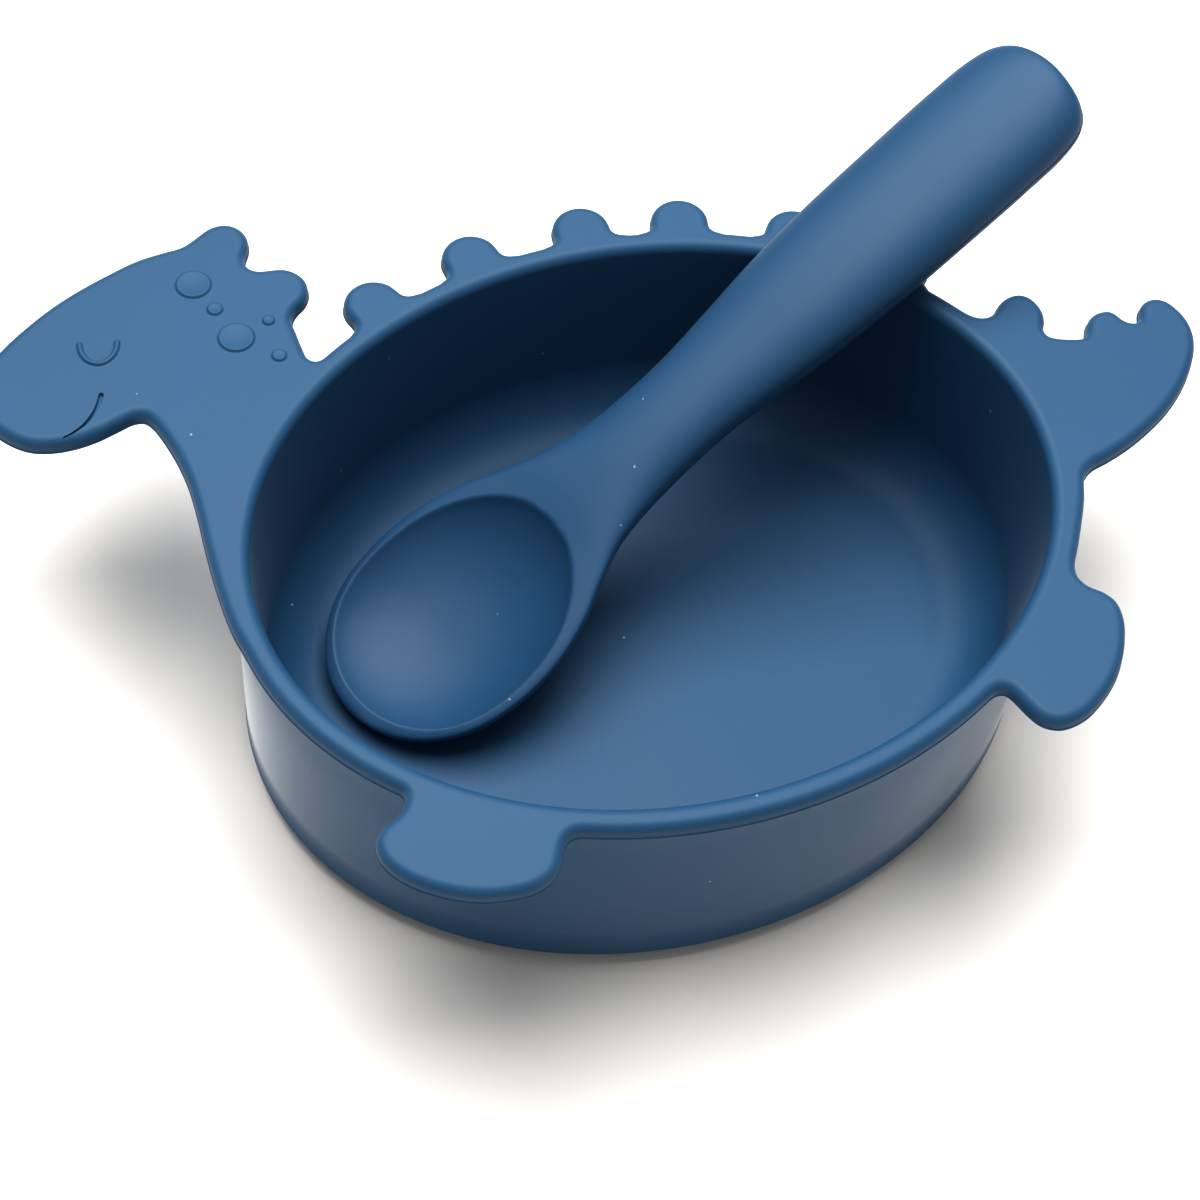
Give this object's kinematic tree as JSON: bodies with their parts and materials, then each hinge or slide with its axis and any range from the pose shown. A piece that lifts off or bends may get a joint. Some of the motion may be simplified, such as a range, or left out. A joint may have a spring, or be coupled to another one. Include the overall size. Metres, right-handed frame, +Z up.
{
  "type": "suction bowl",
  "caption": "Dinosaur-shaped silicone feeding bowl with an oval tub, a flange with head, spikes, tail and feet, a suction base and a thick-handled spoon resting in it.",
  "frame": {"origin": "on the table plane, under the centre of the whole set's bounding box", "axes": "+X from the animal's nose to its tail, +Y from its feet to its back spikes, +Z up out of the bowl"},
  "size_m": [0.1798, 0.127, 0.0703],
  "materials": {
    "bowl_silicone": "matte moulded silicone, slate blue",
    "base_silicone": "satin moulded silicone, midnight blue",
    "spoon_silicone": "matte moulded silicone, slate blue"
  },
  "bodies": {
    "base": {"suction_base": "base_silicone"},
    "bowl": {"bowl_body": "bowl_silicone"},
    "spoon": {"spoon": "spoon_silicone"}
  },
  "joints": [
    {"name": "suction_press", "type": "slide", "parent": "base", "child": "bowl", "axis": [0, 0, -1], "range_m": [0, 0.0015], "stiffness_N_per_m": 8000, "springref_m": -0.0004, "deforming": ["suction_base"]},
    {"name": "spoon_lift", "type": "slide", "parent": "bowl", "child": "spoon", "axis": [0, 0, 1], "range_m": [0, 0.1]}
  ]
}
